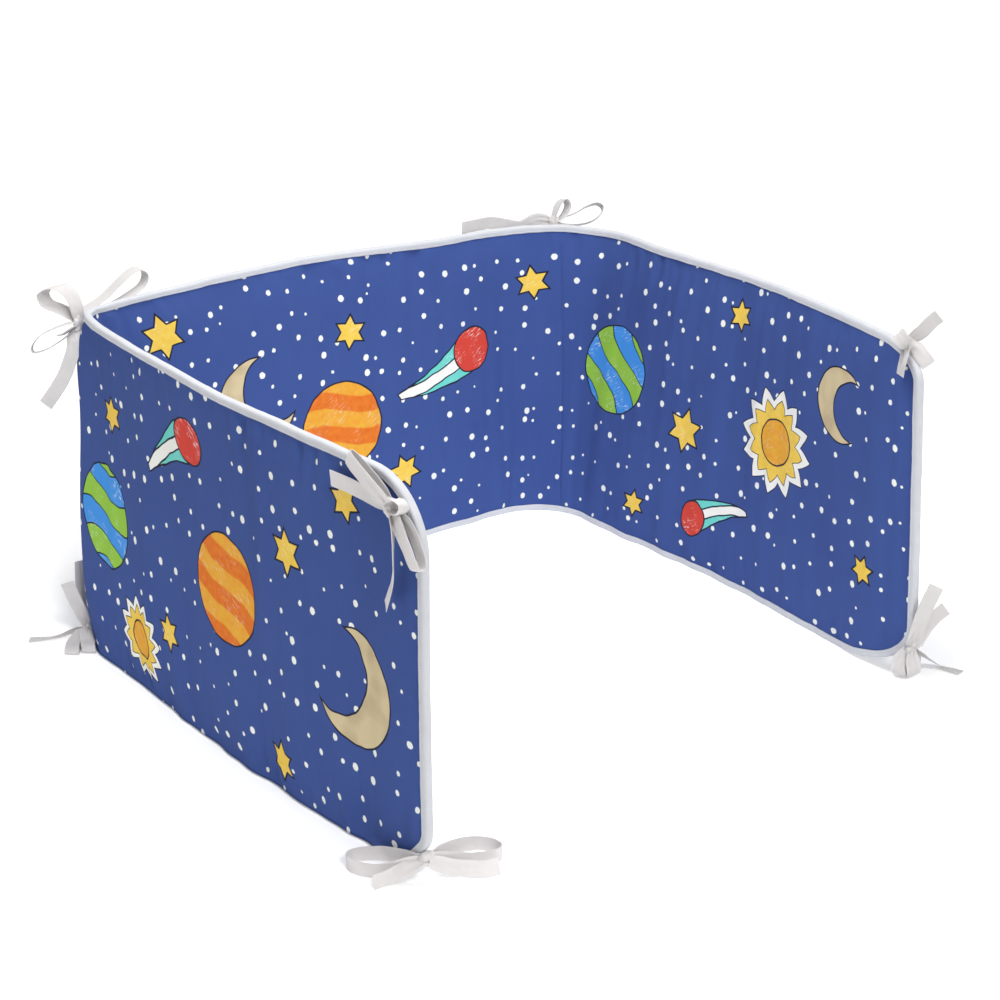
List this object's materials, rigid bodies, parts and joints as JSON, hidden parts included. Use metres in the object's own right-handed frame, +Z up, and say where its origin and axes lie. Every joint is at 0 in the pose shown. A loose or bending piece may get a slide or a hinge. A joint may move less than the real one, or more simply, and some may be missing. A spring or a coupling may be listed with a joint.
{
  "type": "crib bumper",
  "caption": "Long padded cloth bumper for the inside of a crib, standing in a U, with a taped edge all round and flat tape ties at its bends and ends.",
  "frame": {"origin": "middle of the whole object's bounding box, on the surface that the strip stands on", "axes": "+Z up; the closed back of the U is towards +Y, its open side towards -Y, and the back panel runs along X"},
  "size_m": [0.8096, 0.7597, 0.4332],
  "materials": {
    "printed_cloth": "matte",
    "white_tape": "matte",
    "tie_a_top_tape": "matte",
    "tie_a_low_tape": "matte",
    "tie_b_top_tape": "matte",
    "tie_b_low_tape": "matte",
    "tie_c_top_tape": "matte",
    "tie_c_low_tape": "matte",
    "tie_d_top_tape": "matte",
    "tie_d_low_tape": "matte"
  },
  "bodies": {
    "root": {"pad": "printed_cloth", "binding": "white_tape", "tie_a_top": "tie_a_top_tape", "tie_a_low": "tie_a_low_tape", "tie_b_top": "tie_b_top_tape", "tie_b_low": "tie_b_low_tape", "tie_c_top": "tie_c_top_tape", "tie_c_low": "tie_c_low_tape", "tie_d_top": "tie_d_top_tape", "tie_d_low": "tie_d_low_tape"}
  },
  "joints": []
}
